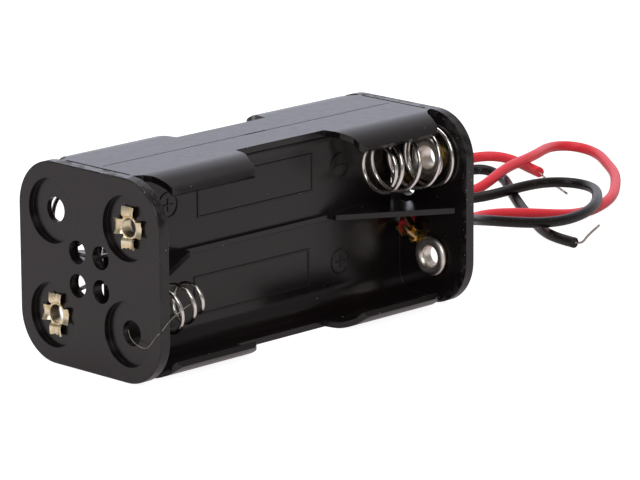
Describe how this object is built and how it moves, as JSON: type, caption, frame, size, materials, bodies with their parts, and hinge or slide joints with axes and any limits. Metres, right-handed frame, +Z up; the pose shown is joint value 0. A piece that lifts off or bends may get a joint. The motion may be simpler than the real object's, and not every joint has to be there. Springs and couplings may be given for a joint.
{
  "type": "cylindrical cell holder",
  "caption": "Moulded plastic holder for small cylindrical cells, set back to back along a central web, with coil spring contacts, clinched eyelets and flexible connecting leads.",
  "frame": {"origin": "middle of the holder's underside, half way between the two end plates, without the leads", "axes": "+X along the cells towards the end plate that the leads leave, +Y across the central web, +Z up"},
  "size_m": [0.1257, 0.0536, 0.0242],
  "materials": {
    "black_plastic": "satin black moulding",
    "spring_wire": "bright nickel plated spring wire",
    "plated_brass": "pale plated brass",
    "tag_brass": "bare brass sheet",
    "tinned_strand": "fine tinned copper strands",
    "red_insulation": "soft red PVC",
    "black_insulation": "soft black PVC"
  },
  "bodies": {
    "holder": {"holder_body": "black_plastic", "eyelet_front_near": "plated_brass", "eyelet_front_far": "plated_brass", "eyelet_back_near_low": "plated_brass", "eyelet_back_near_high": "plated_brass", "eyelet_back_far": "plated_brass", "red_tag": "tag_brass", "black_tag": "tag_brass", "red_core": "tinned_strand", "black_core": "tinned_strand", "red_lead": "red_insulation", "black_lead": "black_insulation", "red_lead_end": "tinned_strand", "black_lead_end": "tinned_strand"},
    "contact_spring_1": {"spring_front_near": "spring_wire"},
    "contact_spring_2": {"spring_front_far": "spring_wire"},
    "contact_spring_3": {"spring_back_near": "spring_wire"},
    "contact_spring_4": {"spring_back_far": "spring_wire"}
  },
  "joints": [
    {"name": "spring_front_near_press", "type": "slide", "parent": "holder", "child": "contact_spring_1", "axis": [-1, 0, 0], "range_m": [0, 0.0053], "stiffness_N_per_m": 400, "deforming": ["spring_front_near"]},
    {"name": "spring_front_far_press", "type": "slide", "parent": "holder", "child": "contact_spring_2", "axis": [-1, 0, 0], "range_m": [0, 0.0053], "stiffness_N_per_m": 400, "deforming": ["spring_front_far"]},
    {"name": "spring_back_near_press", "type": "slide", "parent": "holder", "child": "contact_spring_3", "axis": [1, 0, 0], "range_m": [0, 0.0053], "stiffness_N_per_m": 400, "deforming": ["spring_back_near"]},
    {"name": "spring_back_far_press", "type": "slide", "parent": "holder", "child": "contact_spring_4", "axis": [1, 0, 0], "range_m": [0, 0.0053], "stiffness_N_per_m": 400, "deforming": ["spring_back_far"]}
  ]
}
